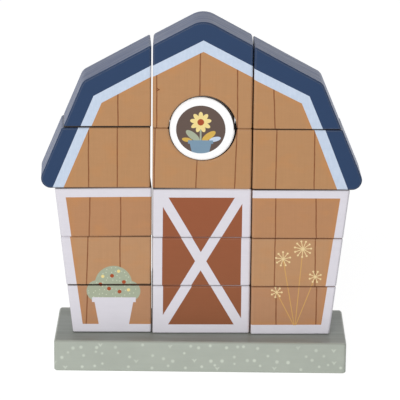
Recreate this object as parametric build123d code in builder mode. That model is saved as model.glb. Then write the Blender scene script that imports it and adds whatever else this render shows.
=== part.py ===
from build123d import *
import os
from math import cos, radians, sin

# Stacking farm toy: a barn of wooden blocks that slide onto three rods in a base board.
#
# The blocks are sawn from one thick board with the outline of a barn: walls that lean out
# upwards, a gambrel roof with rounded eaves, and a round window. Upright cuts divide it into
# three columns, level cuts into five levels, and every block is bored upright for its rod.
# A round disc stands in the window, threaded on the middle rod.
#
# The frame is in millimetres: +X to the right as seen from the front, +Y to the rear, +Z up.
# The origin is on the underside of the base board, below the middle rod.

# Base board
BASE_LENGTH = 221.0
BASE_DEPTH = 79.0
BASE_HEIGHT = 24.0
BASE_CORNER_ROUND = 2.5
BASE_EDGE_CHAMFER = 1.0

# Outline of the barn board, with its roof corners measured before they are rounded
BOARD_DEPTH = 39.0
FOOT_WIDTH = 195.2
WALL_TOP_WIDTH = 221.8
EAVE_WIDTH = 247.0
KNEE_WIDTH = 177.4
KNEE_RISE = 83.0
PEAK_RISE = 131.1
EAVE_ROUND = 7.5
KNEE_ROUND = 8.0
PEAK_ROUND = 17.0

# Cuts, with the middle column sawn a little to the left of the middle rod
WALL_COURSE_HEIGHT = 38.3
LOWER_ROOF_HEIGHT = 46.8
CENTRE_COLUMN_WIDTH = 74.1
CENTRE_COLUMN_SHIFT = -0.25
SAW_KERF = 1.0
EDGE_CHAMFER = 1.0

# Rods, and the bores that run on them, which are loose enough for a toddler
ROD_DIAMETER = 10.0
ROD_FOOT_CHAMFER = 0.8
ROD_SOCKET_DEPTH = 16.0
GLUE_LINE = 0.1
BORE_CLEARANCE = 2.0
BORE_LEAD_IN = 1.0
BORE_END_GAP = 2.0
SIDE_ROD_INSET = 33.1
SIDE_ROD_REACH = 20.0
CENTRE_ROD_REACH = 18.0

# Window disc, which lies on the lower half of the window and a little to the left
DISC_DIAMETER = 48.7
DISC_CLEARANCE = 1.05
DISC_SEAT_GAP = 0.35
DISC_LEAN = 0.2

# Each block is free to turn and to slip a little on its rod. From the bottom up, these are its
# turns in degrees about +Z and its slips to the right along its own face, as stacked.
COLUMN_CLEARANCE = 0.2
BLOCK_TURNS = {
    "left": (1.5, 3.0, 3.5, 3.0, 2.8),
    "centre": (1.8, 1.8, 1.6, 0.6, 0.4),
    "right": (2.2, 1.8, 1.4, 1.0, 0.8),
}
BLOCK_SLIPS = {
    "left": (0.1, -0.7, -0.6, -1.7, -1.2),
    "centre": (0.0, 0.0, 0.0, 0.0, 0.0),
    "right": (0.0, 0.0, 0.0, 0.0, 0.0),
}

WALL_LEVELS = ("wall_1", "wall_2", "wall_3")
LEVELS = WALL_LEVELS + ("roof_lower", "roof_upper")

# Levels: finished heights above the base board, and the drop that the saw cuts below cause
wall_height = len(WALL_LEVELS) * WALL_COURSE_HEIGHT
level_bottoms = [course * WALL_COURSE_HEIGHT for course in range(len(WALL_LEVELS))]
level_bottoms += [wall_height, wall_height + LOWER_ROOF_HEIGHT]
eave_line = wall_height + len(WALL_LEVELS) * SAW_KERF
peak_line = eave_line + PEAK_RISE
level_tops = level_bottoms[1:] + [peak_line]
roof_seam = BASE_HEIGHT + level_bottoms[-1]


def column_gap(column, inwards):
    """Gap beside the middle column that clears it as each side block turns, slips and lifts.

    inwards is the sign of a slip that brings this column's blocks nearer to the middle column.
    """
    half_depth = BOARD_DEPTH / 2
    reaches = [
        half_depth * abs(sin(radians(turn)) - sin(radians(centre_turn))) + inwards * slip
        for turn, slip in zip(BLOCK_TURNS[column], BLOCK_SLIPS[column])
        for centre_turn in BLOCK_TURNS["centre"]
    ]
    return COLUMN_CLEARANCE + max(reaches)


# Columns: left and right limit of each on the uncut board, and its rod
centre_left = CENTRE_COLUMN_SHIFT - CENTRE_COLUMN_WIDTH / 2
centre_right = CENTRE_COLUMN_SHIFT + CENTRE_COLUMN_WIDTH / 2
column_cells = {
    "left": (-EAVE_WIDTH / 2, centre_left - column_gap("left", 1)),
    "centre": (centre_left, centre_right),
    "right": (centre_right + column_gap("right", -1), EAVE_WIDTH / 2),
}
side_rod_x = CENTRE_COLUMN_WIDTH / 2 + SIDE_ROD_INSET
rod_places = {"left": -side_rod_x, "centre": 0.0, "right": side_rod_x}

# Window: bored before the lower roof is sawn off, so its middle is halfway through that cut
window_radius = DISC_DIAMETER / 2 + DISC_CLEARANCE
window_height = level_bottoms[-1] + (len(LEVELS) - 1 - 0.5) * SAW_KERF
window_sill = roof_seam + SAW_KERF / 2 - window_radius
window_crown = roof_seam - SAW_KERF / 2 + window_radius
disc_height = window_sill + DISC_SEAT_GAP + DISC_DIAMETER / 2

# Rods
rod_radius = ROD_DIAMETER / 2
bore_radius = rod_radius + BORE_CLEARANCE
rod_foot = BASE_HEIGHT - ROD_SOCKET_DEPTH
rod_tops = {
    "left": roof_seam + SIDE_ROD_REACH,
    "centre": window_crown + CENTRE_ROD_REACH,
    "right": roof_seam + SIDE_ROD_REACH,
}


def barn_board():
    """Face of the uncut board, with its foot on the sketch's X axis and its middle on Y."""
    with BuildSketch() as board:
        with BuildLine():
            Polyline(
                (0, 0),
                (FOOT_WIDTH / 2, 0),
                (WALL_TOP_WIDTH / 2, eave_line),
                (EAVE_WIDTH / 2, eave_line),
                (KNEE_WIDTH / 2, eave_line + KNEE_RISE),
                (0, peak_line),
            )
            mirror(about=Plane.YZ)
        make_face()
        by_width = board.vertices().group_by(Axis.X)
        fillet(by_width[0] + by_width[-1], EAVE_ROUND)
        fillet(board.vertices().group_by(Axis.Y)[-2], KNEE_ROUND)
        fillet(board.vertices().group_by(Axis.Y)[-1], PEAK_ROUND)
        with Locations((0, window_height)):
            Circle(window_radius, mode=Mode.SUBTRACT)
    return board.sketch


def export_block(board, column, level):
    """Saw one block from the board, drop it onto the stack, turn and slip it, and bore it."""
    name = f"{column}_{LEVELS[level]}"
    rod_x = rod_places[column]
    turn = radians(BLOCK_TURNS[column][level])
    slip = BLOCK_SLIPS[column][level]
    bore_x = rod_x + slip * cos(turn)
    bore_y = slip * sin(turn)
    kerfs_below = level * SAW_KERF
    low = level_bottoms[level] + kerfs_below
    high = level_tops[level] + kerfs_below
    left, right = column_cells[column]
    front = Plane(
        origin=(bore_x, bore_y, BASE_HEIGHT - kerfs_below),
        x_dir=(cos(turn), sin(turn), 0),
        z_dir=(sin(turn), -cos(turn), 0),
    )
    block_foot = BASE_HEIGHT + level_bottoms[level]
    underside = Plane(origin=(bore_x, bore_y, block_foot), z_dir=(0, 0, -1))
    bore_depth = None
    if LEVELS[level] == "roof_upper":
        bore_depth = rod_tops[column] + BORE_END_GAP - roof_seam
    with BuildPart() as block:
        with BuildSketch(front):
            with Locations((-rod_x, 0)):
                add(board)
            with Locations(((left + right) / 2 - rod_x, (low + high) / 2)):
                Rectangle(right - left, high - low, mode=Mode.INTERSECT)
        extrude(amount=BOARD_DEPTH / 2, both=True)
        chamfer(block.edges(), EDGE_CHAMFER)
        with Locations(underside):
            CounterSinkHole(bore_radius, bore_radius + BORE_LEAD_IN, bore_depth, 90)
    block.part.label = name
    export_step(block.part, f"parts/{name}.step")


def export_rod(column):
    """A round rod with a domed tip, glued upright in its socket."""
    rod_x = rod_places[column]
    rod_top = rod_tops[column]
    dome_foot = rod_top - rod_radius
    with BuildPart() as rod:
        with BuildSketch(Plane.XZ.move(Location((rod_x, 0, 0)))):
            with BuildLine():
                Polyline(
                    (0, rod_top),
                    (0, rod_foot),
                    (rod_radius - ROD_FOOT_CHAMFER, rod_foot),
                    (rod_radius, rod_foot + ROD_FOOT_CHAMFER),
                    (rod_radius, dome_foot),
                )
                RadiusArc((rod_radius, dome_foot), (0, rod_top), -rod_radius)
            make_face()
        revolve(axis=Axis((rod_x, 0, 0), (0, 0, 1)))
    rod.part.label = f"{column}_rod"
    export_step(rod.part, f"parts/{column}_rod.step")


os.makedirs("parts", exist_ok=True)

# Base board with a blind socket for each rod
with BuildPart() as base_board:
    with BuildSketch():
        RectangleRounded(BASE_LENGTH, BASE_DEPTH, BASE_CORNER_ROUND)
    extrude(amount=BASE_HEIGHT)
    level_faces = base_board.faces().filter_by(Plane.XY)
    chamfer(level_faces.edges(), BASE_EDGE_CHAMFER)
    with Locations([(rod_x, 0, BASE_HEIGHT) for rod_x in rod_places.values()]):
        Hole(rod_radius + GLUE_LINE, ROD_SOCKET_DEPTH)
base_board.part.label = "base_board"
export_step(base_board.part, "parts/base_board.step")

# Window disc, bored across its edge for the middle rod
with BuildPart() as window_disc:
    with BuildSketch(Plane.XZ):
        with Locations((-DISC_LEAN, disc_height)):
            Circle(DISC_DIAMETER / 2)
    extrude(amount=BOARD_DEPTH / 2, both=True)
    chamfer(window_disc.edges(), EDGE_CHAMFER)
    with Locations((0, 0, disc_height)):
        Hole(bore_radius)
window_disc.part.label = "window_disc"
export_step(window_disc.part, "parts/window_disc.step")

uncut_board = barn_board()
for column in rod_places:
    export_rod(column)
    for level in range(len(LEVELS)):
        export_block(uncut_board, column, level)
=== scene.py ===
"""Looks of the wooden stacking barn: painted blocks, a round window disc, rods and a base board.

Paint is laid out in millimetres in each block's own upright plane, so that it turns with the block.
"""

import logging
import math
from collections.abc import Mapping, Sequence
from dataclasses import dataclass
from enum import Enum
from functools import reduce
from typing import Any

import bpy
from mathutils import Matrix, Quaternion, Vector


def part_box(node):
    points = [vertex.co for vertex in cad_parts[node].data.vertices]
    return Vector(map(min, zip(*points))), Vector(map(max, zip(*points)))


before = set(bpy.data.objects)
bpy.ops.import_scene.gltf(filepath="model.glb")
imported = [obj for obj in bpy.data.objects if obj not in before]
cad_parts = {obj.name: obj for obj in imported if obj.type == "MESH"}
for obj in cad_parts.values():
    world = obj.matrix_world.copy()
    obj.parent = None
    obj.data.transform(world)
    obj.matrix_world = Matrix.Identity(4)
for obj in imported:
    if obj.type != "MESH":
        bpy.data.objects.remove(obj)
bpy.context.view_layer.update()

LOG = logging.getLogger("stacking_barn")
MILLIMETRE = 0.001

Point = tuple[float, float]
Colour = tuple[float, float, float, float]


class Tint(Enum):
    """Paint and wood colours, and tints of painted shade, as sRGB hex codes."""

    ROOF_NAVY = "2D4263"
    # The roof skin's navy paint, made bluer as a painted reflection tint of its sheen.
    SKIN_NAVY_SHEEN = "2C4472"
    TRIM_BLUE = "C5D3E6"
    TRIM_BLUE_PALE = "CFDBED"
    TRIM_WHITE = "DEDBE3"
    ROOF_TAN = "B78A61"
    WALL_TAN_HIGH = "B78761"
    WALL_TAN_MIDDLE = "BB8F69"
    WALL_TAN_LOW = "B68866"
    TAN_WARM = "C78A54"
    PLANK_BROWN = "7C4829"
    # Painted shade down in the seams between blocks and in the gaps between columns.
    SEAM_SHADE_BLACK = "1A100B"
    SEAM_SHADE_BROWN = "57280B"
    # Painted shade in the window: inside its bore and as the crescent on the disc's rim.
    WINDOW_SHADE_BROWN = "2E2018"
    DOOR_RUST = "98583B"
    DOOR_RUST_LOW = "90593C"
    BASE_SAGE = "ADB3A9"
    # The base's top, painted darker as painted shade.
    BASE_TOP_SHADED = "90958D"
    BASE_SPECK = "D6DDD0"
    RING_WHITE = "FFFFFF"
    FIELD_BROWN = "63534C"
    LEAF_SAGE = "A9B19A"
    LEAF_SPECK = "CBD3BC"
    POT_BLUE = "7C97AC"
    PETAL_YELLOW = "F1DB94"
    MUSTARD = "D4AE55"
    SEED_CREAM = "EBD3A0"
    STEM_STRAW = "D0A263"
    BERRY_RED = "A9512F"
    BARE_BIRCH = "DDBF93"
    BIRCH_GRAIN = "C39A68"
    RUBBED = "EFE8DE"

    @property
    def linear(self) -> Colour:
        """Works out the colour as shaders take it.

        Returns:
            Linear red, green and blue, and an alpha of 1.
        """
        coded = [int(self.value[i : i + 2], 16) / 255 for i in (0, 2, 4)]
        red, green, blue = (c / 12.92 if c <= 0.04045 else ((c + 0.055) / 1.055) ** 2.4 for c in coded)
        return red, green, blue, 1.0


class Column(Enum):
    """The three stacks of blocks."""

    LEFT = "left"
    CENTRE = "centre"
    RIGHT = "right"


class Level(Enum):
    """The five courses, with the number of saw cuts below each."""

    WALL_1 = 0
    WALL_2 = 1
    WALL_3 = 2
    ROOF_LOWER = 3
    ROOF_UPPER = 4

    @property
    def tan(self) -> Tint:
        """The tan of this course. The courses' tans differ slightly."""
        walls = (Tint.WALL_TAN_LOW, Tint.WALL_TAN_MIDDLE, Tint.WALL_TAN_HIGH)
        return walls[self.value] if self.value < len(walls) else Tint.ROOF_TAN


class Signal:
    """A node's output socket that Python operators extend with Math nodes."""

    def __init__(self, bench: "NodeBench", socket: bpy.types.NodeSocket | None) -> None:
        """Wraps a socket.

        Args:
            bench: The node tree's builder.
            socket: The output socket, or None for a node that has none.
        """
        self.bench = bench
        self.socket = socket

    def sibling(self, output: str | int) -> "Signal":
        """Another output of the same node."""
        return Signal(self.bench, self.socket.node.outputs[output])

    def __add__(self, other: "Signal | float") -> "Signal":
        """Sum."""
        return self.bench.math("ADD", self, other)

    def __radd__(self, other: float) -> "Signal":
        """Sum, reflected."""
        return self.bench.math("ADD", other, self)

    def __sub__(self, other: "Signal | float") -> "Signal":
        """Difference."""
        return self.bench.math("SUBTRACT", self, other)

    def __rsub__(self, other: float) -> "Signal":
        """Difference, reflected."""
        return self.bench.math("SUBTRACT", other, self)

    def __mul__(self, other: "Signal | float") -> "Signal":
        """Product."""
        return self.bench.math("MULTIPLY", self, other)

    def __rmul__(self, other: float) -> "Signal":
        """Product, reflected."""
        return self.bench.math("MULTIPLY", other, self)

    def __truediv__(self, other: "Signal | float") -> "Signal":
        """Quotient."""
        return self.bench.math("DIVIDE", self, other)

    def __rtruediv__(self, other: float) -> "Signal":
        """Quotient, reflected."""
        return self.bench.math("DIVIDE", other, self)

    def __neg__(self) -> "Signal":
        """Negative."""
        return self.bench.math("MULTIPLY", self, -1.0)

    def __abs__(self) -> "Signal":
        """Absolute value."""
        return self.bench.math("ABSOLUTE", self)

    def squared(self) -> "Signal":
        """Square."""
        return self.bench.math("POWER", self, 2.0)

    def at_least(self, other: "Signal | float") -> "Signal":
        """The larger of two values."""
        return self.bench.math("MAXIMUM", self, other)

    def at_most(self, other: "Signal | float") -> "Signal":
        """The smaller of two values."""
        return self.bench.math("MINIMUM", self, other)

    def clamped(self) -> "Signal":
        """The value limited to 0 to 1."""
        return self.bench.math("ADD", self, 0.0, clamp=True)


Source = Signal | float | Sequence[float]


@dataclass(frozen=True)
class Noise:
    """A soft noise: its cells per millimetre along each axis, and how many finer octaves it has."""

    cells: tuple[float, float, float]
    detail: float = 2.0


class NodeBench:
    """Builds one material's or the world's node tree."""

    COLOUR_SOCKETS = (0, 6, 7)
    COLOUR_RESULT = 2
    NUMBER_SOCKETS = (0, 2, 3)

    def __init__(self, tree: bpy.types.NodeTree) -> None:
        """Starts on an empty tree.

        Args:
            tree: The node tree, whose default nodes are removed.
        """
        self.tree = tree
        tree.nodes.clear()

    def add(
        self,
        kind: str,
        settings: Mapping[str, Any] | None = None,
        inputs: Mapping[str | int, Source] | None = None,
        output: str | int = 0,
    ) -> Signal:
        """Adds a node.

        Args:
            kind: The node's type name.
            settings: Its properties, set before its sockets.
            inputs: Values or links of its input sockets, by name or number.
            output: The output to return.

        Returns:
            The chosen output.
        """
        node = self.tree.nodes.new(kind)
        for name, value in (settings or {}).items():
            setattr(node, name, value)
        for key, value in (inputs or {}).items():
            if isinstance(value, Signal):
                self.tree.links.new(value.socket, node.inputs[key])
            else:
                node.inputs[key].default_value = value
        return Signal(self, node.outputs[output]) if node.outputs else Signal(self, None)

    def math(self, operation: str, *values: Source, clamp: bool = False) -> Signal:
        """Adds a Math node on up to three values."""
        settings = {"operation": operation, "use_clamp": clamp}
        return self.add("ShaderNodeMath", settings, dict(enumerate(values)))

    def vector(self, operation: str, *vectors: Source) -> Signal:
        """Adds a Vector Math node that gives a vector."""
        return self.add("ShaderNodeVectorMath", {"operation": operation}, dict(enumerate(vectors)))

    def measure(self, operation: str, *vectors: Source) -> Signal:
        """Adds a Vector Math node that gives a number."""
        return self.vector(operation, *vectors).sibling("Value")

    def scaled(self, vector: Source, factor: Source) -> Signal:
        """A vector or colour times a number."""
        return self.add("ShaderNodeVectorMath", {"operation": "SCALE"}, {0: vector, "Scale": factor})

    def split(self, vector: Source) -> Signal:
        """A vector's X, with its Y and Z as siblings."""
        return self.add("ShaderNodeSeparateXYZ", inputs={0: vector})

    def layered(self, below: Source, above: Source, mask: Source) -> Signal:
        """A colour painted over another where the mask is 1."""
        inputs = dict(zip(self.COLOUR_SOCKETS, (mask, below, above)))
        return self.add("ShaderNodeMix", {"data_type": "RGBA"}, inputs, self.COLOUR_RESULT)

    def chosen(self, low: Source, high: Source, choice: Source) -> Signal:
        """The first number where the choice is 0, and the second where it is 1."""
        inputs = dict(zip(self.NUMBER_SOCKETS, (choice, low, high)))
        return self.add("ShaderNodeMix", {"data_type": "FLOAT"}, inputs)

    def noise(self, place: Signal, noise: Noise) -> Signal:
        """Adds soft noise.

        Args:
            place: Position in millimetres.
            noise: Its cells and octaves.

        Returns:
            Values round 0.5.
        """
        cells = self.vector("MULTIPLY", place, noise.cells)
        inputs = {"Vector": cells, "Scale": 1.0, "Detail": noise.detail}
        return self.add("ShaderNodeTexNoise", inputs=inputs)

    def finish(self, surface: Mapping[str, Source], relief: Mapping[str, Source]) -> None:
        """Ends a material with a Principled shader and a bump.

        Args:
            surface: The shader's sockets, apart from its normal.
            relief: The bump's height in millimetres, and the normal under it if that isn't the mesh's.
        """
        normal = self.add("ShaderNodeBump", inputs={"Strength": 1.0, "Distance": MILLIMETRE, **relief})
        shader = self.add("ShaderNodeBsdfPrincipled", inputs={**surface, "Normal": normal})
        self.add("ShaderNodeOutputMaterial", inputs={"Surface": shader})


@dataclass
class Canvas:
    """A block's own space in millimetres: across, depth (negative at the front) and height."""

    PAINT_EDGE = 0.14

    bench: NodeBench
    place: Signal
    across: Signal
    depth: Signal
    height: Signal
    flat: Signal

    @classmethod
    def on_rod(cls, bench: NodeBench, rod_x: float = 0, turn: float = 0, slip: float = 0) -> "Canvas":
        """Lays the canvas in the space of a block that has turned and slipped on its rod.

        Args:
            bench: The material's node builder.
            rod_x: Where the rod stands, in millimetres.
            turn: The block's turn about +Z, in radians.
            slip: The block's slip to the right along its own face, in millimetres.

        Returns:
            The canvas.
        """
        turned = {
            "Vector": bench.add("ShaderNodeTexCoord", output="Object"),
            "Location": (rod_x * (1 - math.cos(turn)) - slip, rod_x * math.sin(turn), 0.0),
            "Rotation": (0.0, 0.0, -turn),
            "Scale": (1 / MILLIMETRE,) * 3,
        }
        place = bench.add("ShaderNodeMapping", inputs=turned)
        across = bench.split(place)
        height = across.sibling("Z")
        flat = bench.add("ShaderNodeCombineXYZ", inputs={"X": across, "Y": height})
        return cls(bench, place, across, across.sibling("Y"), height, flat)

    def ink(self, distance: Signal, blur: float = PAINT_EDGE) -> Signal:
        """The mask of a shape, 1 where the distance to its edge is negative, with an edge this soft."""
        return self.bench.math("MULTIPLY_ADD", distance, -1 / blur, 0.5, clamp=True)

    def painted(self, colour: Source, tint: Tint, shape: Signal) -> Signal:
        """The colour with a shape in a tint over it."""
        return self.bench.layered(colour, tint.linear, self.ink(shape))

    def from_axis(self, rod_x: float) -> Signal:
        """Distance to the axis of a rod."""
        return self.bench.math("SQRT", (self.across - rod_x).squared() + self.depth.squared())

    def slant(self, run: float, rise: float, offset: float, across: Signal | None = None) -> Signal:
        """Signed distance to a straight edge: run times across, plus rise times height, less offset."""
        sideways = self.bench.math("MULTIPLY_ADD", across or self.across, run, -offset)
        return self.bench.math("MULTIPLY_ADD", self.height, rise, sideways)

    def flank(self, low: Point, high: Point, sideways: Signal) -> Signal:
        """Measures to a straight edge that is the same on both sides of an upright middle line.

        Args:
            low: Its lower end: distance from the middle line, and height.
            high: Its upper end.
            sideways: The distance from the middle line.

        Returns:
            Signed distance, negative towards the middle line.
        """
        run, rise = high[1] - low[1], low[0] - high[0]
        length = math.hypot(run, rise)
        run, rise = run / length, rise / length
        return self.slant(run, rise, run * low[0] + rise * low[1], sideways)

    def spot(self, centre: Point, radius: float) -> Signal:
        """Signed distance to a circle."""
        return self.bench.measure("DISTANCE", self.flat, (*centre, 0.0)) - radius

    def oval(self, centre: Point, reach: float, breadth: float, lean: float) -> Signal:
        """Measures to an ellipse.

        Args:
            centre: Its middle.
            reach: Half its length.
            breadth: Half its width.
            lean: Its long axis, in degrees from level.

        Returns:
            Signed distance, exact only near the edge.
        """
        cosine, sine = math.cos(math.radians(lean)), math.sin(math.radians(lean))
        along = self.slant(cosine, sine, cosine * centre[0] + sine * centre[1])
        beside = self.slant(-sine, cosine, cosine * centre[1] - sine * centre[0])
        return ((along / reach).squared() + (beside / breadth).squared() - 1) * (breadth / 2)

    def stroke(self, start: Point, end: Point, width: float) -> Signal:
        """Measures to a straight stroke with round ends.

        Args:
            start: The middle of one end.
            end: The middle of the other.
            width: Its width.

        Returns:
            Signed distance.
        """
        line = Vector((end[0] - start[0], end[1] - start[1], 0.0))
        offset = self.bench.vector("SUBTRACT", self.flat, (*start, 0.0))
        share = self.bench.measure("DOT_PRODUCT", offset, line / line.length_squared).clamped()
        return self.bench.measure("DISTANCE", offset, self.bench.scaled(line, share)) - width / 2

    def rosette(self, centre: Point, arms: int, lean: float) -> tuple[Signal, Signal]:
        """Folds the plane round a centre, so that one arm's shape repeats in every arm.

        Args:
            centre: The middle of the rosette.
            arms: How many arms it has.
            lean: The first arm's direction, in degrees from level.

        Returns:
            The place along the nearest arm and beside it.
        """
        offset = self.bench.vector("SUBTRACT", self.flat, (*centre, 0.0))
        radius = self.bench.measure("LENGTH", offset)
        level = self.bench.split(offset)
        angle = self.bench.math("ARCTAN2", level.sibling("Y"), level) - math.radians(lean)
        folded = self.bench.math("WRAP", angle, math.pi / arms, -math.pi / arms)
        return radius * self.bench.math("COSINE", folded), radius * self.bench.math("SINE", folded)

    def scatter(self, pitch: float, shift: Point, evenness: float) -> tuple[Signal, Signal, Signal]:
        """Scatters points, one in each cell of a loose grid.

        Args:
            pitch: The grid's pitch in millimetres.
            shift: Moves the grid, in cells.
            evenness: 0 for points anywhere in their cells, 1 for a regular grid.

        Returns:
            Offset in millimetres from the nearest point, its place in cells, and its random colour.
        """
        cells = self.bench.vector("MULTIPLY_ADD", self.flat, (1 / pitch,) * 3, (*shift, 0.0))
        inputs = {"Vector": cells, "Scale": 1.0, "Randomness": 1 - evenness}
        settings = {"voronoi_dimensions": "2D"}
        nearest = self.bench.add("ShaderNodeTexVoronoi", settings, inputs, "Position")
        offset = self.bench.scaled(self.bench.vector("SUBTRACT", cells, nearest), pitch)
        return offset, nearest, nearest.sibling("Color")


def joined(shapes: Sequence[Signal]) -> Signal:
    """Signed distance to several shapes taken together."""
    return reduce(Signal.at_most, shapes)


@dataclass(frozen=True)
class SatinPaint:
    """Satin paint on sanded wood, matt on printed faces and clear-coated on the outer skin."""

    roughness: float = 0.48
    roughness_spread: float = 0.08
    specular: float = 0.12
    skin_coat: float = 0.44
    coat_roughness: float = 0.30
    sheen_gain: float = 3.0
    sheen_cut: float = 0.5
    sheen_least: float = 0.2
    tone_spread: float = 0.05
    mottle_share: float = 0.7
    grain_share: float = 0.5
    grain_depth: float = 0.03
    texture_depth: float = 0.010
    edge_round: float = 1.5
    edge_samples: int = 6
    edge_rub: float = 0.10
    rub_gain: float = 8.0
    patch_gain: float = 2.0
    grain: Noise = Noise((0.045, 0.9, 0.9), 4.0)
    sheen: Noise = Noise((0.02, 0.4, 0.02), 5.0)
    mottle: Noise = Noise((0.10, 0.16, 0.16), 3.0)
    texture: Noise = Noise((1.6, 1.6, 1.6))
    rub_patches: Noise = Noise((0.12, 0.12, 0.12))

    def coat_surface(self, canvas: Canvas, colour: Source, skin: Source = 0.0) -> None:
        """Finishes a material with this paint.

        Args:
            canvas: The piece's canvas.
            colour: What is painted on it.
            skin: 1 where the clear coat of the outer skin lies.
        """
        bench = canvas.bench
        grain = bench.noise(canvas.place, self.grain)
        mottle = bench.noise(canvas.place, self.mottle)
        texture = bench.noise(canvas.place, self.texture)
        sheen = bench.noise(canvas.place, self.sheen) * self.sheen_gain - self.sheen_cut
        radius = {"Radius": self.edge_round * MILLIMETRE}
        rounded = bench.add("ShaderNodeBevel", {"samples": self.edge_samples}, radius, "Normal")
        smooth = bench.add("ShaderNodeNewGeometry", output="Normal")
        facing = bench.measure("DOT_PRODUCT", rounded, smooth)
        patches = (bench.noise(canvas.place, self.rub_patches) * self.patch_gain).clamped()
        rubbed = ((1 - facing) * self.rub_gain).clamped() * patches * self.edge_rub
        shade = (mottle - 0.5) * self.mottle_share + (grain - 0.5) * self.grain_share
        worn = bench.layered(colour, Tint.RUBBED.linear, rubbed)
        surface = {
            "Base Color": bench.scaled(worn, 1 + shade * (2 * self.tone_spread)),
            "Roughness": self.roughness + (mottle - 0.5) * (2 * self.roughness_spread),
            "Specular IOR Level": self.specular,
            "Coat Weight": skin * sheen.at_least(self.sheen_least) * self.skin_coat,
            "Coat Roughness": self.coat_roughness,
        }
        relief = grain * self.grain_depth + texture * self.texture_depth
        bench.finish(surface, {"Height": relief, "Normal": rounded})


@dataclass(frozen=True)
class BareWood:
    """Turned and sanded birch with long fine grain."""

    roughness: float = 0.55
    roughness_spread: float = 0.1
    grain_depth: float = 0.05
    grain_start: float = 0.40
    grain_gain: float = 2.6
    fleck_share: float = 0.5
    grain: Noise = Noise((1.1, 1.1, 0.03), 4.0)
    fleck: Noise = Noise((3.0, 3.0, 0.25))
    pores: Noise = Noise((3.0, 3.0, 0.25), 3.0)

    def colour(self, canvas: Canvas) -> Signal:
        """Mixes the wood's colour, with its grain along the height.

        Args:
            canvas: The piece's canvas.

        Returns:
            The colour.
        """
        bench = canvas.bench
        grain = bench.noise(canvas.place, self.grain)
        fleck = bench.noise(canvas.place, self.fleck)
        lines = (grain - self.grain_start) * self.grain_gain
        mask = (lines + (fleck - 0.5) * self.fleck_share).clamped()
        return bench.layered(Tint.BARE_BIRCH.linear, Tint.BIRCH_GRAIN.linear, mask)

    def coat_surface(self, canvas: Canvas) -> None:
        """Finishes a material as bare wood.

        Args:
            canvas: The piece's canvas.
        """
        pores = canvas.bench.noise(canvas.place, self.pores)
        surface = {
            "Base Color": self.colour(canvas),
            "Roughness": self.roughness + (pores - 0.5) * (2 * self.roughness_spread),
        }
        canvas.bench.finish(surface, {"Height": pores * self.grain_depth})


def dress_node(node: str, name: str) -> NodeBench:
    """Gives a CAD node one new material.

    Args:
        node: The CAD node.
        name: The material's name.

    Returns:
        The material's empty node tree, ready to build.
    """
    material = bpy.data.materials.new(name)
    material.use_nodes = True
    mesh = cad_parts[node].data
    mesh.materials.clear()
    mesh.materials.append(material)
    return NodeBench(material.node_tree)


def millimetre_box(node: str) -> tuple[Vector, Vector]:
    """A CAD node's lowest and highest corner, in millimetres."""
    low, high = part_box(node)
    return low / MILLIMETRE, high / MILLIMETRE


def bearing(azimuth: float, elevation: float) -> Vector:
    """Points from the barn towards a camera or lamp.

    Args:
        azimuth: Degrees from the front towards the right.
        elevation: Degrees above level.

    Returns:
        The direction, of length 1.
    """
    turn, climb = math.radians(azimuth), math.radians(elevation)
    return Vector((math.sin(turn) * math.cos(climb), -math.cos(turn) * math.cos(climb), math.sin(climb)))


@dataclass(frozen=True)
class BarnOutline:
    """The uncut board's outline in millimetres; each saw cut lowers what is above it by a kerf."""

    foot_height: float = 24.0
    kerf: float = 1.0
    foot_half: float = 97.6
    wall_rise: float = 117.9
    wall_top_half: float = 110.9
    eave_half: float = 123.5
    knee_half: float = 88.7
    knee_rise: float = 83.0
    peak_rise: float = 131.1

    def eave(self, level: Level) -> float:
        """Height of the eaves as a block of this course stands."""
        return self.foot_height + self.wall_rise - level.value * self.kerf

    def wall(self, canvas: Canvas, level: Level) -> Signal:
        """Signed distance to the wall's outer face, negative inside."""
        foot, top = self.eave(level) - self.wall_rise, self.eave(level)
        return canvas.flank((self.foot_half, foot), (self.wall_top_half, top), abs(canvas.across))

    def steep(self, canvas: Canvas, level: Level) -> Signal:
        """Signed distance to the roof's lower, steep slope, negative inside."""
        eave, knee = self.eave(level), self.eave(level) + self.knee_rise
        return canvas.flank((self.eave_half, eave), (self.knee_half, knee), abs(canvas.across))

    def shallow(self, canvas: Canvas, level: Level) -> Signal:
        """Signed distance to the roof's upper, shallow slope, negative inside."""
        knee, peak = self.eave(level) + self.knee_rise, self.eave(level) + self.peak_rise
        return canvas.flank((self.knee_half, knee), (0.0, peak), abs(canvas.across))


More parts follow.
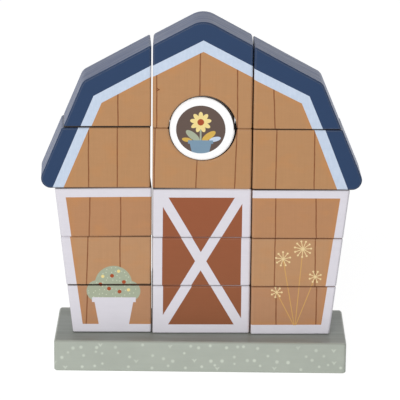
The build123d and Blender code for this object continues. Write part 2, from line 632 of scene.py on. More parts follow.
@dataclass(frozen=True)
class PotShrub:
    """A printed round shrub with berries in a white tub."""

    middle: float = -66.5
    tub_foot: Point = (11.5, 31.0)
    tub_rim: Point = (15.0, 50.5)
    band_overhang: float = 1.6
    band_half: float = 1.9
    crown: tuple[tuple[Point, float], ...] = (
        ((-66.5, 63.5), 14.0),
        ((-78.6, 57.6), 8.6),
        ((-54.6, 57.4), 8.2),
        ((-66.5, 52.5), 9.5),
    )
    speck_pitch: float = 3.4
    speck_shift: Point = (0.3, 0.1)
    speck_evenness: float = 0.35
    speck_radius: float = 0.42
    speck_margin: float = 1.0
    berry_radius: float = 1.5
    berries: tuple[Point, ...] = (
        (-76.4, 62.8),
        (-67.6, 69.6),
        (-58.6, 64.6),
        (-70.2, 59.4),
        (-62.2, 57.0),
    )
    blossom_radius: float = 1.25
    blossoms: tuple[Point, ...] = ((-74.6, 69.2), (-62.6, 73.2), (-55.4, 58.4))

    def paint(self, canvas: Canvas, colour: Source) -> Signal:
        """Paints the motif over a colour.

        Args:
            canvas: The block's canvas.
            colour: What is there already.

        Returns:
            The colour with the motif.
        """
        crown = joined([canvas.spot(centre, radius) for centre, radius in self.crown])
        colour = canvas.painted(colour, Tint.LEAF_SAGE, crown)
        offset, _, _ = canvas.scatter(self.speck_pitch, self.speck_shift, self.speck_evenness)
        specks = canvas.bench.measure("LENGTH", offset) - self.speck_radius
        colour = canvas.painted(colour, Tint.LEAF_SPECK, specks.at_least(crown + self.speck_margin))
        for spot in self.berries:
            colour = canvas.painted(colour, Tint.BERRY_RED, canvas.spot(spot, self.berry_radius))
        for spot in self.blossoms:
            colour = canvas.painted(colour, Tint.PETAL_YELLOW, canvas.spot(spot, self.blossom_radius))
        return canvas.painted(colour, Tint.TRIM_WHITE, self.tub(canvas))

    def tub(self, canvas: Canvas) -> Signal:
        """Measures to the tub and its rim band.

        Args:
            canvas: The block's canvas.

        Returns:
            Signed distance.
        """
        sideways = abs(canvas.across - self.middle)
        rim_half, rim = self.tub_rim
        body = canvas.flank(self.tub_foot, self.tub_rim, sideways).at_least(canvas.height - rim)
        reach = rim_half + self.band_overhang
        return body.at_most((sideways - reach).at_least(abs(canvas.height - rim) - self.band_half))


@dataclass(frozen=True)
class Umbel:
    """A printed meadow umbel: a thin stem, fine spokes and a seed at the end of each."""

    foot: Point
    head: Point
    arms: int
    reach: float
    lean: float = 0.0
    seed: float = 0.78
    middle: float = 0.858
    stem_width: float = 0.7
    spoke_half: float = 0.3

    def paint(self, canvas: Canvas, colour: Source) -> Signal:
        """Paints the motif over a colour.

        Args:
            canvas: The block's canvas.
            colour: What is there already.

        Returns:
            The colour with the motif.
        """
        stem = canvas.stroke(self.foot, self.head, self.stem_width)
        colour = canvas.painted(colour, Tint.STEM_STRAW, stem)
        along, beside = canvas.rosette(self.head, self.arms, self.lean)
        spoke = (abs(beside) - self.spoke_half).at_least(along - self.reach)
        seed = canvas.bench.math("SQRT", (along - self.reach).squared() + beside.squared()) - self.seed
        return canvas.painted(colour, Tint.SEED_CREAM, joined([spoke, seed, along - self.middle]))


@dataclass(frozen=True)
class Leaf:
    """A printed oval leaf."""

    centre: Point
    reach: float
    breadth: float
    lean: float
    tint: Tint


@dataclass(frozen=True)
class PotFlower:
    """A printed daisy with leaves in a blue pot."""

    middle: float = -1.3
    pot_foot: Point = (6.4, 167.0)
    pot_rim: Point = (8.44, 176.0)
    rim_half: float = 9.4
    rim_middle: float = 175.4
    rim_reach: float = 1.3
    stem_width: float = 1.3
    bloom: Point = (-1.3, 190.6)
    bloom_eye: float = 2.5
    petals: int = 9
    petal_middle: float = 4.7
    petal_reach: float = 3.3
    petal_breadth: float = 1.7
    first_petal: float = 90.0
    leaves: tuple[Leaf, ...] = (
        Leaf((-7.2, 180.2), 6.2, 2.5, 142.0, Tint.LEAF_SAGE),
        Leaf((4.8, 180.0), 6.0, 2.4, 36.0, Tint.MUSTARD),
        Leaf((9.4, 177.6), 4.4, 1.8, 14.0, Tint.TRIM_BLUE),
        Leaf((-11.4, 177.0), 3.8, 1.6, 170.0, Tint.MUSTARD),
    )

    def paint(self, canvas: Canvas, colour: Source) -> Signal:
        """Paints the motif over a colour.

        Args:
            canvas: The disc's canvas.
            colour: What is there already.

        Returns:
            The colour with the motif.
        """
        soil = self.pot_rim[1]
        stem = canvas.stroke((self.middle, soil), self.bloom, self.stem_width)
        colour = canvas.painted(colour, Tint.LEAF_SAGE, stem)
        for leaf in self.leaves:
            blade = canvas.oval(leaf.centre, leaf.reach, leaf.breadth, leaf.lean)
            colour = canvas.painted(colour, leaf.tint, blade)
        along, beside = canvas.rosette(self.bloom, self.petals, self.first_petal)
        length = ((along - self.petal_middle) / self.petal_reach).squared()
        petal = length + (beside / self.petal_breadth).squared() - 1
        colour = canvas.painted(colour, Tint.PETAL_YELLOW, petal)
        colour = canvas.painted(colour, Tint.BERRY_RED, canvas.spot(self.bloom, self.bloom_eye))
        sideways = abs(canvas.across - self.middle)
        pot = canvas.flank(self.pot_foot, self.pot_rim, sideways).at_least(canvas.height - soil)
        rim = (sideways - self.rim_half).at_least(abs(canvas.height - self.rim_middle) - self.rim_reach)
        return canvas.painted(colour, Tint.POT_BLUE, pot.at_most(rim))


@dataclass(frozen=True)
class Knot:
    """A short printed nick beside a plank line."""

    start: Point
    end: Point
    width: float = 0.7
    blur: float = 0.3

    def paint(self, canvas: Canvas, colour: Source) -> Signal:
        """Paints the nick over a colour."""
        nick = canvas.ink(canvas.stroke(self.start, self.end, self.width), self.blur)
        return canvas.bench.layered(colour, Tint.PLANK_BROWN.linear, nick)


Motif = PotShrub | Umbel | PotFlower | Knot


@dataclass(frozen=True)
class Seam:
    """The painted shade on the rims that meet in a level seam.

    Each has a height, a strength at either end and a tint. A lift makes the upper rim higher and the
    lower one narrower.
    """

    reach: float
    left: float
    right: float
    tint: Tint = Tint.SEAM_SHADE_BLACK
    lift: float = 0.0


@dataclass
class BarnBlock:
    """One block of the barn, sawn from the board and turned a little on its rod."""

    FACE_DEPTH = 18.55
    FRONT_FACING = 0.95
    SKIN = 1.6
    SKIN_TINT = Tint.TRIM_WHITE
    BORE = 7.2
    BLIND_END = 2.3
    ROD_REACH = 11.0
    LEVEL_FACE = 0.95
    SEAM_BLUR = 0.30
    # Painted shade in each column's five level seams, from the foot up.
    SEAMS = {
        Column.LEFT: (
            Seam(0.55, 0.95, 0.95),
            Seam(0.62, 1.0, 1.0),
            Seam(0.42, 0.05, 0.80),
            Seam(0.55, 0.90, 0.40),
            Seam(0.75, 1.0, 1.0, lift=0.60),
        ),
        Column.CENTRE: (
            Seam(0.50, 0.75, 0.75),
            Seam(0.30, 0.60, 0.60),
            Seam(0.30, 0.60, 0.60),
            Seam(0.55, 1.0, -0.2),
            Seam(0.30, 0.45, 0.45, Tint.SEAM_SHADE_BROWN),
        ),
        Column.RIGHT: (
            Seam(0.38, 0.85, 0.85),
            Seam(0.38, 0.72, 0.72, Tint.SEAM_SHADE_BROWN),
            Seam(0.38, 0.72, 0.72, Tint.SEAM_SHADE_BROWN),
            Seam(0.60, 1.0, 0.60),
            Seam(0.45, 0.95, 0.95),
        ),
    }
    STREAKS = Noise((0.9, 0.03, 0.0), 4.0)
    STREAK_SPREAD = 0.10
    CLOUDS = Noise((0.055, 0.08, 0.0))
    CLOUD_START = 0.52
    CLOUD_GAIN = 1.5
    WARM_REACH = 6.0
    WARM_TRIM = 0.55
    WARM_MOST = 0.8
    WAVER = Noise((0.02, 0.06, 0.0))
    WAVER_REACH = 0.7
    PRESS = Noise((0.3, 0.16, 0.0))
    PRESS_LEAST = 0.62
    PRESS_SPREAD = 0.5
    PLANK_BLUR = 0.35

    column: Column
    level: Level
    planks: tuple[tuple[Point, Point], ...] = ()
    motifs: tuple[Motif, ...] = ()
    plank_width: float = 0.85
    outline: BarnOutline = BarnOutline()

    @property
    def node(self) -> str:
        """The block's CAD node."""
        return f"{self.column.value}_{self.level.name.lower()}"

    def seat(self, rod_x: float) -> tuple[float, float]:
        """Finds how the block sits on its rod, from the way its front face looks and from its bore.

        Args:
            rod_x: Where the rod stands, in millimetres.

        Returns:
            Its turn about +Z in radians, and its slip to the right along its own face in millimetres.
        """
        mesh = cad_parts[self.node].data
        front = Vector((0.0, 0.0, 0.0))
        for face in mesh.polygons:
            if face.normal.y < -self.FRONT_FACING:
                front += face.normal * face.area
        turn = math.atan2(front.x, -front.y)
        corners = [corner.co / MILLIMETRE - Vector((rod_x, 0.0, 0.0)) for corner in mesh.vertices]
        rim = [corner.xy for corner in corners if corner.xy.length < self.ROD_REACH]
        middle = [(min(values) + max(values)) / 2 for values in zip(*rim)]
        return turn, middle[0] * math.cos(turn) + middle[1] * math.sin(turn)

    def dress(self, finish: SatinPaint, wood: BareWood) -> None:
        """Gives the block its paint.

        Args:
            finish: The paint's finish.
            wood: The wood that shows in the bore.
        """
        rod_low, rod_high = millimetre_box(f"{self.column.value}_rod")
        rod_x = (rod_low.x + rod_high.x) / 2
        turn, slip = self.seat(rod_x)
        bench = dress_node(self.node, f"paint_{self.node}")
        canvas = Canvas.on_rod(bench, rod_x, turn, slip)
        printed = canvas.ink(self.FACE_DEPTH - abs(canvas.depth))
        skin = self.outer_skin(canvas)
        sides = self.side_paint(canvas, skin)
        # The sawn sides and printed faces, with painted shade in the seams.
        colour = self.shade_seams(canvas, bench.layered(sides, self.face_print(canvas), printed))
        bore = canvas.from_axis(rod_x) - self.BORE
        if self.level is Level.ROOF_UPPER:
            bore = bore.at_least(canvas.height - (rod_high.z + self.BLIND_END))
        colour = bench.layered(colour, wood.colour(canvas), canvas.ink(bore))
        finish.coat_surface(canvas, colour, skin * (1 - printed))
        degrees = math.degrees(turn)
        LOG.info("%s: painted, turned %.1f degrees, slipped %.1f mm", self.node, degrees, slip)

    def slot_name(self) -> str:
        """The record's material slot of this block."""
        raise NotImplementedError

    def face_print(self, canvas: Canvas) -> Signal:
        """The colour of the front and back faces."""
        raise NotImplementedError

    def outer_skin(self, canvas: Canvas) -> Source:
        """The mask of the barn's outer skin."""
        raise NotImplementedError

    def sawn_tint(self) -> Tint:
        """The colour of the sawn sides."""
        return self.level.tan

    def side_paint(self, canvas: Canvas, skin: Source) -> Signal:
        """The colour of the sawn sides and the outer skin."""
        return canvas.bench.layered(self.sawn_tint().linear, self.SKIN_TINT.linear, skin)

    def seam_share(self, canvas: Canvas) -> Source:
        """The share of a seam's painted shade that the paint under it takes."""
        return 1.0

    def shade_seams(self, canvas: Canvas, colour: Signal) -> Signal:
        """Paints shade on the rims that meet the blocks below and above, where shade falls down in the
        seam.

        Args:
            canvas: The block's canvas.
            colour: The paint so far.

        Returns:
            The paint with painted shade on the rims, which leave the level faces as they are.
        """
        low, high = millimetre_box(self.node)
        bench = canvas.bench
        normal = bench.split(bench.add("ShaderNodeNewGeometry", output="True Normal"))
        sloped = bench.math("LESS_THAN", abs(normal.sibling("Z")), self.LEVEL_FACE)
        share = sloped * self.seam_share(canvas)
        rims = [(self.level.value, 1, canvas.height - low.z)]
        if self.level is not Level.ROOF_UPPER:
            rims.append((self.level.value + 1, -1, high.z - canvas.height))
        way = (canvas.across - low.x) / (high.x - low.x)
        for number, way_up, inwards in rims:
            seam = self.SEAMS[self.column][number]
            gain = seam.right - seam.left
            strength = bench.math("MULTIPLY_ADD", way, gain, seam.left, clamp=True)
            reach = seam.reach + way_up * seam.lift
            shade = canvas.ink(inwards - reach, self.SEAM_BLUR) * share * strength
            colour = bench.layered(colour, seam.tint.linear, shade)
        return colour

    def plank_ground(self, canvas: Canvas, panel: Signal) -> Signal:
        """Paints the planks: upright grain, a warmer tone near the trim, and thin lines between.

        Args:
            canvas: The block's canvas.
            panel: Signed distance to the panel's edge, negative inside.

        Returns:
            The planks' colour.
        """
        bench = canvas.bench
        streaks = (bench.noise(canvas.flat, self.STREAKS) - 0.5) * self.STREAK_SPREAD
        ground = bench.scaled(self.level.tan.linear[:3], 1 + streaks)
        clouds = (bench.noise(canvas.flat, self.CLOUDS) - self.CLOUD_START).at_least(0.0)
        near_trim = (1 + panel / self.WARM_REACH).clamped()
        warmth = near_trim * near_trim * self.WARM_TRIM + clouds * self.CLOUD_GAIN
        ground = bench.layered(ground, Tint.TAN_WARM.linear, warmth.clamped() * self.WARM_MOST)
        if not self.planks:
            return ground
        waver = (bench.noise(canvas.flat, self.WAVER) - 0.5) * self.WAVER_REACH
        wavering = canvas.across + waver
        lines = []
        for (low_u, low_z), (high_u, high_z) in self.planks:
            lean = (high_u - low_u) / (high_z - low_z)
            lines.append(abs(canvas.slant(1.0, -lean, low_u - lean * low_z, wavering)))
        press = bench.noise(canvas.flat, self.PRESS) * self.PRESS_SPREAD + self.PRESS_LEAST
        ink = canvas.ink(joined(lines) - self.plank_width / 2, self.PLANK_BLUR) * press.clamped()
        return bench.layered(ground, Tint.PLANK_BROWN.linear, ink)

    def add_motifs(self, canvas: Canvas, colour: Signal) -> Signal:
        """Paints the block's motifs on its front only.

        Args:
            canvas: The block's canvas.
            colour: The paint so far.

        Returns:
            The paint with the motifs.
        """
        if not self.motifs:
            return colour
        drawn = colour
        for motif in self.motifs:
            drawn = motif.paint(canvas, drawn)
        return canvas.bench.layered(colour, drawn, canvas.ink(canvas.depth))


@dataclass
class RoofBlock(BarnBlock):
    """A roof block: navy skin and fascia, a pale blue trim band, and tan planks."""

    # The skin's navy is partly a painted reflection tint.
    SKIN_TINT = Tint.SKIN_NAVY_SHEEN
    PEAK_SKIN = 262.0
    EAVE_SKIN = 111.5
    WINDOW = ((0.0, 185.7), 26.0)
    BRUSHING = Noise((0.55, 0.16, 0.0), 4.0)
    BRUSH_START = 0.42
    BRUSH_GAIN = 2.5

    navy_steep: float = 11.5
    steep_drift: float = 0.0
    navy_shallow: float = 13.8
    shallow_drift: float = 0.0
    trim_width: float = 7.5

    def slot_name(self) -> str:
        """The record's material slot of this block."""
        return "roof_paint"

    def side_paint(self, canvas: Canvas, skin: Source) -> Signal:
        """Paints the sides: navy down to the trim, and painted shade in dark brown where the window is
        bored.

        Args:
            canvas: The block's canvas.
            skin: The mask of the outer skin.

        Returns:
            The colour of the sawn sides and the outer skin.
        """
        fascia = -self.fascia(canvas)
        sawn = canvas.painted(self.sawn_tint().linear, Tint.ROOF_NAVY, fascia)
        sides = canvas.bench.layered(sawn, self.SKIN_TINT.linear, skin)
        if self.column is not Column.CENTRE:
            return sides
        # Painted shade inside the window's bore.
        return canvas.painted(sides, Tint.WINDOW_SHADE_BROWN, canvas.spot(*self.WINDOW))

    def inset(self, canvas: Canvas, steep_by: Source, shallow_by: Source) -> Signal:
        """Signed distance to the outline after it is moved inwards."""
        steep = self.outline.steep(canvas, self.level) + steep_by
        return steep.at_least(self.outline.shallow(canvas, self.level) + shallow_by)

    def fascia(self, canvas: Canvas, further: float = 0.0) -> Signal:
        """Measures to the inner edge of the navy fascia, or so much further in.

        Args:
            canvas: The block's canvas.
            further: How much further in, in millimetres.

        Returns:
            Signed distance, negative inwards. The fascia drifts a little in width away from the
            eaves and the peak.
        """
        climb = canvas.height - self.outline.eave(Level.WALL_1)
        steep_by = climb * self.steep_drift + (self.navy_steep + further)
        shallow_by = abs(canvas.across) * self.shallow_drift + (self.navy_shallow + further)
        return self.inset(canvas, steep_by, shallow_by)

    def face_print(self, canvas: Canvas) -> Signal:
        """Paints the front and back faces.

        Args:
            canvas: The block's canvas.

        Returns:
            Their colour.
        """
        bench = canvas.bench
        panel = self.fascia(canvas, self.trim_width)
        brushing = bench.noise(canvas.flat, self.BRUSHING)
        pale = ((brushing - self.BRUSH_START) * self.BRUSH_GAIN).clamped()
        trim = bench.layered(Tint.TRIM_BLUE.linear, Tint.TRIM_BLUE_PALE.linear, pale)
        trimmed = bench.layered(trim, self.plank_ground(canvas, panel), canvas.ink(panel))
        colour = bench.layered(Tint.ROOF_NAVY.linear, trimmed, canvas.ink(self.fascia(canvas)))
        return self.add_motifs(canvas, colour)

    def outer_skin(self, canvas: Canvas) -> Signal:
        """Masks the navy roof skin, with the rounded peak and the underside of the eaves.

        Args:
            canvas: The block's canvas.

        Returns:
            The mask.
        """
        inside = self.inset(canvas, self.SKIN, self.SKIN)
        if self.level is Level.ROOF_UPPER:
            inside = inside.at_least(canvas.height - self.PEAK_SKIN)
        else:
            inside = inside.at_least(abs(canvas.across) - self.EAVE_SKIN)
        return 1 - canvas.ink(inside)


@dataclass
class FramedBlock(BarnBlock):
    """A wall block whose print ends in a white frame at the foot and the head of the wall."""

    frame_foot: float = 31.0
    frame_head: float = 131.85

    def framed(self, canvas: Canvas, panel: Signal) -> Signal:
        """Ends a panel at the frame's foot in the lowest course and at its head in the highest.

        Args:
            canvas: The block's canvas.
            panel: Signed distance to the panel's sides, negative inside.

        Returns:
            Signed distance to the panel.
        """
        if self.level is Level.WALL_1:
            return panel.at_least(self.frame_foot - canvas.height)
        if self.level is Level.WALL_3:
            return panel.at_least(canvas.height - self.frame_head)
        return panel


@dataclass
class WallBlock(FramedBlock):
    """A block of a side wall: tan planks in a white frame, and a white outer face.

    The frame is as wide as given at half the height of the wall, and widens downwards.
    """

    MIDDLE = 78.0
    FRAME_DRIFT = -0.0185
    BACK_PALENESS = 0.45

    frame_width: float = 7.5

    def slot_name(self) -> str:
        """The record's material slot of this block."""
        return "wall_paint"

    def face_print(self, canvas: Canvas) -> Signal:
        """Paints the front and back faces, the back in a paler wood tone.

        Args:
            canvas: The block's canvas.

        Returns:
            Their colour.
        """
        widening = (canvas.height - self.MIDDLE) * self.FRAME_DRIFT
        sides = self.outline.wall(canvas, self.level) + widening + self.frame_width
        panel = self.framed(canvas, sides)
        pale = canvas.ink(-canvas.depth) * self.BACK_PALENESS
        planks = canvas.bench.layered(self.plank_ground(canvas, panel), Tint.BARE_BIRCH.linear, pale)
        colour = canvas.bench.layered(Tint.TRIM_WHITE.linear, planks, canvas.ink(panel))
        return self.add_motifs(canvas, colour)

    def outer_skin(self, canvas: Canvas) -> Signal:
        """The mask of the wall's outer face."""
        return 1 - canvas.ink(self.outline.wall(canvas, self.level) + self.SKIN)


@dataclass
class DoorBlock(FramedBlock):
    """A block of the centre wall: a rust door with white frame and crossed braces.

    Where a gap shade is given, the left rim carries painted shade up to the gap's top.
    """

    RUST_SEAM = 0.35
    RIM_DEPTH = 14.0
    RIM_FADE = 6.0
    GAP_BLUR = 0.6
    GAP_TOP_BLUR = 2.0

    panel_sides: Point = (-29.6, 30.1)
    frame_foot: float = 31.4
    frame_head: float = 132.15
    crossing: Point = (-0.5, 82.2)
    brace_width: float = 7.25
    brace_run: float = 0.864
    brace_rise: float = 0.5035
    # Painted shade on the left rim in the gap between the columns.
    gap_edge: float = -36.9
    gap_top: float = 200.0
    gap_shade: float = 0.0

    def slot_name(self) -> str:
        """The record's material slot of this block."""
        return "door_paint"

    def sawn_tint(self) -> Tint:
        """The colour of the sawn sides."""
        return Tint.TRIM_WHITE

    def outer_skin(self, canvas: Canvas) -> Source:
        """A centre wall block has no outer skin."""
        return 0.0

    def brace(self, canvas: Canvas, way: float) -> Signal:
        """Measures to one brace.

        Args:
            canvas: The block's canvas.
            way: 1 if it rises to the left, -1 if it rises to the right.

        Returns:
            Signed distance.
        """
        run, rise = way * self.brace_run, self.brace_rise
        middle = canvas.slant(run, rise, run * self.crossing[0] + rise * self.crossing[1])
        return abs(middle) - self.brace_width / 2

    def panel(self, canvas: Canvas) -> Signal:
        """Measures to the rust panels between the frame and the braces.

        Args:
            canvas: The block's canvas.

        Returns:
            Signed distance, negative inside.
        """
        braces = self.brace(canvas, 1.0).at_most(self.brace(canvas, -1.0))
        left, right = self.panel_sides
        sides = abs(canvas.across - (left + right) / 2) - (right - left) / 2
        return self.framed(canvas, sides.at_least(-braces))

    def face_print(self, canvas: Canvas) -> Signal:
        """Paints the front and back faces.

        Args:
            canvas: The block's canvas.

        Returns:
            Their colour.
        """
        bench = canvas.bench
        fade = ((canvas.height - self.frame_foot) / (self.frame_head - self.frame_foot)).clamped()
        rust = bench.layered(Tint.DOOR_RUST_LOW.linear, Tint.DOOR_RUST.linear, fade)
        colour = bench.layered(Tint.TRIM_WHITE.linear, rust, canvas.ink(self.panel(canvas)))
        return self.add_motifs(canvas, colour)

    def seam_share(self, canvas: Canvas) -> Source:
        """The share of a seam's painted shade that the paint under it takes, less on rust."""
        return 1 - canvas.ink(self.panel(canvas)) * (1 - self.RUST_SEAM)

    def shade_seams(self, canvas: Canvas, colour: Signal) -> Signal:
        """Paints shade on the rims in the level seams, and on the left rim in the gap between the
        columns.

        Args:
            canvas: The block's canvas.
            colour: The paint so far.

        Returns:
            The paint with painted shade on the rims.
        """
        shaded = super().shade_seams(canvas, colour)
        if not self.gap_shade:
            return shaded
        # The gap's painted shade, on the left side near the faces.
        beside = canvas.ink(canvas.across - self.gap_edge, self.GAP_BLUR)
        below = canvas.ink(canvas.height - self.gap_top, self.GAP_TOP_BLUR)
        rim = canvas.ink(self.FACE_DEPTH - self.RIM_DEPTH - abs(canvas.depth), self.RIM_FADE)
        shade = beside * below * rim * self.gap_shade
        return canvas.bench.layered(shaded, Tint.SEAM_SHADE_BLACK.linear, shade)


@dataclass
class WindowDisc:
    """The round window: a white ring round a brown field with a printed flower, and a painted shadow on
    the ring's upper rim.
    """

    node: str = "window_disc"
    field_centre: Point = (-1.2, 185.0)
    field_radius: float = 18.4
    muntin_width: float = 2.6
    lit_centre: Point = (-1.0, 185.45)
    lit_radius: float = 24.25
    lit_blur: float = 0.3
    shade_foot: float = 184.8
    shade_fade: float = 1.5
    rim_depth: float = 18.0

    def dress(self, finish: SatinPaint, wood: BareWood) -> None:
        """Gives the disc its paint.

        Args:
            finish: The paint's finish.
            wood: The wood that shows in the bore.
        """
        bench = dress_node(self.node, "paint_window_disc")
        canvas = Canvas.on_rod(bench)
        field = canvas.ink(canvas.spot(self.field_centre, self.field_radius))
        front = PotFlower().paint(canvas, Tint.FIELD_BROWN.linear)
        sideways = abs(canvas.across - self.field_centre[0])
        muntins = sideways.at_most(abs(canvas.height - self.field_centre[1])) - self.muntin_width / 2
        back = canvas.painted(Tint.FIELD_BROWN.linear, Tint.RING_WHITE, muntins)
        picture = bench.layered(back, front, canvas.ink(canvas.depth))
        printed = field * canvas.ink(BarnBlock.FACE_DEPTH - abs(canvas.depth))
        # Painted shadow in dark brown on the ring's upper rim.
        shade = self.rim_shade(canvas)
        ring = bench.layered(Tint.RING_WHITE.linear, Tint.WINDOW_SHADE_BROWN.linear, shade)
        colour = bench.layered(ring, picture, printed)
        bore = canvas.ink(canvas.from_axis(0.0) - BarnBlock.BORE)
        finish.coat_surface(canvas, bench.layered(colour, wood.colour(canvas), bore))
        LOG.info("%s: painted with ring, field and flower", self.node)

    def rim_shade(self, canvas: Canvas) -> Signal:
        """Masks the painted shadow, a dark crescent on the upper front rim, where the disc stands off
        the window.

        Args:
            canvas: The disc's canvas.

        Returns:
            The mask.
        """
        beyond = canvas.ink(-canvas.spot(self.lit_centre, self.lit_radius), self.lit_blur)
        above = canvas.ink(self.shade_foot - canvas.height, self.shade_fade)
        return beyond * above * canvas.ink(canvas.depth + self.rim_depth)


@dataclass
class BaseBoard:
    """The sage base board, with pale soft dots and ticks scattered over its long edges.

    The sage of the long edges laps a little onto the top, which is painted darker as painted shade.
    """

    GRID_SHIFT = (0.62, 0.05)
    CLOUDS = Noise((0.045, 0.045, 0.07))
    CLOUD_SPREAD = 0.12

    node: str = "base_board"
    edge_width: float = 1.1
    lap: float = 2.8
    top_skim: float = 0.08
    pitch: float = 8.8
    evenness: float = 0.10
    dot_radius: float = 1.35
    dot_spread: float = 0.55
    tick_reach: float = 0.85
    tick_slope: float = 1.5
    tick_thinness: float = 0.55
    tick_half: float = 0.42
    tick_share: float = 0.2
    mark_blur: float = 1.0
    mark_least: float = 0.45
    mark_spread: float = 0.25
    margin: float = 2.4

    def dress(self, finish: SatinPaint) -> None:
        """Gives the board its paint.

        Args:
            finish: The paint's finish.
        """
        bench = dress_node(self.node, "paint_base_board")
        canvas = Canvas.on_rod(bench)
        low, high = millimetre_box(self.node)
        printed = canvas.ink(high.y - self.edge_width - abs(canvas.depth))
        clouds = (bench.noise(canvas.place, self.CLOUDS) - 0.5) * self.CLOUD_SPREAD
        ground = bench.scaled(Tint.BASE_SAGE.linear[:3], 1 + clouds)
        marks = self.marks(canvas, low.z, high.z) * printed
        marked = bench.layered(ground, Tint.BASE_SPECK.linear, marks)
        # The top face is painted darker as painted shade.
        level = high.z - self.top_skim - canvas.height
        top = level.at_least(abs(canvas.depth) - (high.y - self.lap))
        colour = canvas.painted(marked, Tint.BASE_TOP_SHADED, top)
        finish.coat_surface(canvas, colour, 1 - printed)
        LOG.info("%s: painted, with scattered marks", self.node)

    def marks(self, canvas: Canvas, low: float, high: float) -> Signal:
        """Masks the scattered dots and ticks, each with its own size and strength.

        Args:
            canvas: The board's canvas.
            low: Height of the board's underside.
            high: Height of its top.

        Returns:
            The mask, which keeps clear of the upper and lower edges.
        """
        bench = canvas.bench
        offset, point, random = canvas.scatter(self.pitch, self.GRID_SHIFT, self.evenness)
        kind = bench.add("ShaderNodeSeparateColor", inputs={0: random})
        shrink = kind.sibling("Green") * self.dot_spread
        dot = bench.measure("LENGTH", offset) + shrink - self.dot_radius
        local = bench.split(offset)
        rise = local.sibling("Y")
        arm = bench.math("MULTIPLY_ADD", abs(local), -self.tick_slope, rise + self.tick_reach)
        tick = (abs(arm) * self.tick_thinness - self.tick_half).at_least(rise - self.tick_reach)
        mark = bench.chosen(dot, tick, bench.math("LESS_THAN", kind, self.tick_share))
        level = (bench.split(point).sibling("Y") - self.GRID_SHIFT[1]) * self.pitch
        middle, reach = (low + high) / 2, (high - low) / 2 - self.margin
        kept = bench.math("COMPARE", level, middle, reach)
        strength = kind.sibling("Blue") * self.mark_spread + self.mark_least
        return canvas.ink(mark, self.mark_blur) * kept * strength


@dataclass
class RodSet:
    """The three bare rods."""

    columns: tuple[Column, ...] = tuple(Column)

    def dress(self, wood: BareWood) -> None:
        """Gives each rod bare wood.

        Args:
            wood: The wood's finish.
        """
        for column in self.columns:
            node = f"{column.value}_rod"
            wood.coat_surface(Canvas.on_rod(dress_node(node, f"wood_{node}")))
            LOG.info("%s: bare wood", node)


@dataclass(frozen=True)
class ProductCamera:
    """The camera at the photograph's viewing angle, from a fit in a frame of 400 by 400 pixels."""

    FRAME_PX = 400.0
    SENSOR = 36.0
    CLIP = (0.05, 50.0)

    target: tuple[float, float, float] = (0.0, 0.0, 0.120)
    distance: float = 1.93185
    azimuth: float = 0.07
    elevation: float = 16.7
    roll: float = 0.60
    focal_px: float = 2544.71
    centre_px: Point = (201.67, 205.68)

    def place(self) -> None:
        """Makes the camera the scene's camera."""
        back = bearing(self.azimuth, self.elevation)
        data = bpy.data.cameras.new("product_camera")
        data.sensor_width = self.SENSOR
        data.lens = self.focal_px / self.FRAME_PX * self.SENSOR
        data.shift_x = (self.FRAME_PX / 2 - self.centre_px[0]) / self.FRAME_PX
        data.shift_y = (self.centre_px[1] - self.FRAME_PX / 2) / self.FRAME_PX
        data.clip_start, data.clip_end = self.CLIP
        camera = bpy.data.objects.new("product_camera", data)
        roll = Quaternion((0, 0, 1), math.radians(self.roll))
        camera.rotation_mode = "QUATERNION"
        camera.rotation_quaternion = back.to_track_quat("Z", "Y") @ roll
        camera.location = Vector(self.target) + back * self.distance
        bpy.context.scene.collection.objects.link(camera)
        bpy.context.scene.camera = camera
        LOG.info("camera: %.1f mm lens, %.2f m away", data.lens, self.distance)


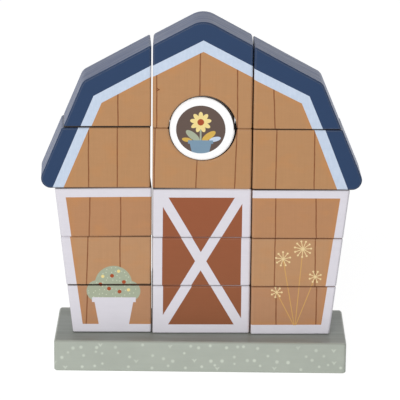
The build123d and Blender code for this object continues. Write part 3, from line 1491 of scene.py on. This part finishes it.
@dataclass(frozen=True)
class Studio:
    """Plain white studio: a floor that keeps the shadow, soft light all round and a front lamp."""

    WHITE = (1.0, 1.0, 1.0, 1.0)
    SEEN_RAYS = ("Is Camera Ray", "Is Glossy Ray", "Is Transmission Ray")

    floor_half: float = 6.0
    floor_height: float = -0.0002
    floor_albedo: float = 0.50
    floor_lift: float = 0.45
    floor_glow: float = 0.89
    shadow_share: float = 0.35
    sky_strength: float = 0.30
    lamp_size: float = 1.6
    lamp_distance: float = 2.2
    lamp_azimuth: float = -20.0
    lamp_elevation: float = 18.0
    lamp_power: float = 30.0
    lamp_aim: tuple[float, float, float] = (0.0, 0.0, 0.13)

    def build(self) -> None:
        """Builds floor, world and lamp, and sets the view transform."""
        bpy.context.scene.view_settings.view_transform = "Standard"
        self.lay_floor()
        self.light_world()
        self.hang_lamp()
        LOG.info("studio: floor, soft world and lamp")

    def seen(self, bench: NodeBench) -> Signal:
        """1 for the rays that show the background, to the camera or in a reflection."""
        path = bench.add("ShaderNodeLightPath", output=self.SEEN_RAYS[0])
        return path.at_least(path.sibling(self.SEEN_RAYS[1])).at_least(path.sibling(self.SEEN_RAYS[2]))

    @staticmethod
    def matt_glow(bench: NodeBench, grey: float, glow: float) -> Signal:
        """Builds a matt grey that glows a little.

        Args:
            bench: The floor's node builder.
            grey: How pale the matt part is.
            glow: How much it glows.

        Returns:
            The shader.
        """
        matt = bench.add("ShaderNodeBsdfDiffuse", inputs={"Color": (grey, grey, grey, 1.0)})
        light = bench.add("ShaderNodeEmission", inputs={"Strength": glow})
        return bench.add("ShaderNodeAddShader", inputs={0: matt, 1: light})

    def lay_floor(self) -> None:
        """Lays a wide plane that is white where it is open and keeps the object's soft shadow."""
        half = self.floor_half
        mesh = bpy.data.meshes.new("studio_floor")
        corners = [(-half, -half, 0), (half, -half, 0), (half, half, 0), (-half, half, 0)]
        mesh.from_pydata(corners, [], [(0, 1, 2, 3)])
        floor = bpy.data.objects.new("studio_floor", mesh)
        floor.location.z = self.floor_height
        bpy.context.scene.collection.objects.link(floor)
        material = bpy.data.materials.new("studio_floor")
        material.use_nodes = True
        mesh.materials.append(material)
        bench = NodeBench(material.node_tree)
        bounced = self.matt_glow(bench, self.floor_albedo, self.floor_lift)
        shown = self.matt_glow(bench, self.shadow_share, self.floor_glow)
        shader = bench.add("ShaderNodeMixShader", inputs={0: self.seen(bench), 1: bounced, 2: shown})
        bench.add("ShaderNodeOutputMaterial", inputs={"Surface": shader})

    def light_world(self) -> None:
        """Lights the world soft white, seen as plain white by the camera and in reflections."""
        world = bpy.data.worlds.new("studio_world")
        world.use_nodes = True
        bpy.context.scene.world = world
        bench = NodeBench(world.node_tree)
        strength = self.seen(bench) * (1 - self.sky_strength) + self.sky_strength
        sky = bench.add("ShaderNodeBackground", inputs={"Color": self.WHITE, "Strength": strength})
        bench.add("ShaderNodeOutputWorld", inputs={"Surface": sky})

    def hang_lamp(self) -> None:
        """Hangs a large soft lamp at the front, a little to the left."""
        towards = bearing(self.lamp_azimuth, self.lamp_elevation)
        data = bpy.data.lights.new("front_lamp", "AREA")
        data.shape = "SQUARE"
        data.size = self.lamp_size
        data.energy = self.lamp_power
        lamp = bpy.data.objects.new("front_lamp", data)
        lamp.location = Vector(self.lamp_aim) + towards * self.lamp_distance
        lamp.rotation_mode = "QUATERNION"
        lamp.rotation_quaternion = towards.to_track_quat("Z", "Y")
        bpy.context.scene.collection.objects.link(lamp)


@dataclass(frozen=True)
class PlankLine:
    """How a course's plank lines run: from one height to another."""

    low: float
    high: float

    def at(self, across: float, lean: float = 0.0) -> tuple[Point, Point]:
        """A line from its low end to its high end, which leans sideways by some millimetres."""
        return (across, self.low), (across + lean, self.high)


def barn_blocks() -> list[BarnBlock]:
    """Lists the fifteen blocks with their planks and motifs.

    Returns:
        The blocks, from the bottom up in each column.
    """
    left, centre, right = Column.LEFT, Column.CENTRE, Column.RIGHT
    foot, waist, head = PlankLine(31, 62), PlankLine(62, 100), PlankLine(100, 132)
    eave, knee, peak = PlankLine(139, 186), PlankLine(186, 220), PlankLine(186, 240)
    ridge = PlankLine(186, 250)
    shrub = (PotShrub(),)
    umbels = (
        Umbel((70.6, 31.9), (61.4, 84.6), 9, 5.4, 12.0),
        Umbel((71.4, 31.9), (76.2, 92.4), 11, 6.2, 4.0),
        Umbel((72.0, 31.9), (86.0, 70.4), 8, 4.4, 20.0),
        Umbel((70.2, 31.9), (56.8, 58.0), 7, 3.9, 0.0),
    )
    knots = (Knot((-34.0, 214.6), (-32.4, 215.4)), Knot((-34.0, 216.2), (-32.6, 215.3)))
    return [
        WallBlock(left, Level.WALL_1, (foot.at(-87.65, 1.55),), shrub, frame_width=7.2),
        WallBlock(left, Level.WALL_2, (waist.at(-86.9, 1.15), waist.at(-61.55)), shrub),
        WallBlock(left, Level.WALL_3, (head.at(-85.15, 0.85), head.at(-61.35)), frame_width=8.4),
        RoofBlock(left, Level.ROOF_LOWER, (eave.at(-84.1), eave.at(-62.65)), navy_steep=11.3),
        RoofBlock(left, Level.ROOF_UPPER, (knee.at(-62.5, -0.3),), navy_shallow=13.3),
        DoorBlock(
            centre,
            Level.WALL_1,
            panel_sides=(-29.2, 30.3),
            crossing=(-0.2, 81.55),
            gap_shade=0.85,
        ),
        DoorBlock(
            centre,
            Level.WALL_2,
            panel_sides=(-29.95, 29.65),
            crossing=(-0.85, 82.0),
            gap_top=76.0,
            gap_shade=0.9,
        ),
        DoorBlock(centre, Level.WALL_3, gap_shade=0.4),
        RoofBlock(
            centre,
            Level.ROOF_LOWER,
            (eave.at(-36.0, 0.45), eave.at(-4.95, 2.2), eave.at(24.35, 1.25)),
        ),
        RoofBlock(
            centre,
            Level.ROOF_UPPER,
            (peak.at(-34.3), ridge.at(-2.3), peak.at(25.9, -0.45)),
            knots,
            navy_shallow=14.15,
            shallow_drift=-0.017,
        ),
        WallBlock(
            right,
            Level.WALL_1,
            (foot.at(56.85, -0.4), foot.at(87.25)),
            umbels,
            frame_width=6.25,
            frame_foot=31.9,
        ),
        WallBlock(
            right,
            Level.WALL_2,
            (waist.at(55.1), waist.at(86.05, -0.7)),
            umbels,
            frame_width=7.75,
        ),
        WallBlock(
            right,
            Level.WALL_3,
            (head.at(55.4, -0.3), head.at(86.2, -0.95)),
            frame_width=7.4,
            frame_head=132.4,
        ),
        RoofBlock(
            right,
            Level.ROOF_LOWER,
            (eave.at(54.95, 0.2), eave.at(83.9, -0.6)),
            navy_steep=12.8,
            steep_drift=-0.023,
        ),
        RoofBlock(
            right,
            Level.ROOF_UPPER,
            (knee.at(53.9, -1.8),),
            navy_steep=12.7,
            navy_shallow=15.9,
            shallow_drift=-0.036,
            trim_width=7.3,
        ),
    ]


def main() -> None:
    """Builds the studio and dresses every piece."""
    logging.basicConfig(level=logging.INFO, format="%(name)s: %(message)s")
    ProductCamera().place()
    Studio().build()
    paint, wood = SatinPaint(), BareWood()
    BaseBoard().dress(paint)
    RodSet().dress(wood)
    for block in barn_blocks():
        block.dress(paint, wood)
    WindowDisc().dress(paint, wood)


if __name__ == "__main__":
    main()
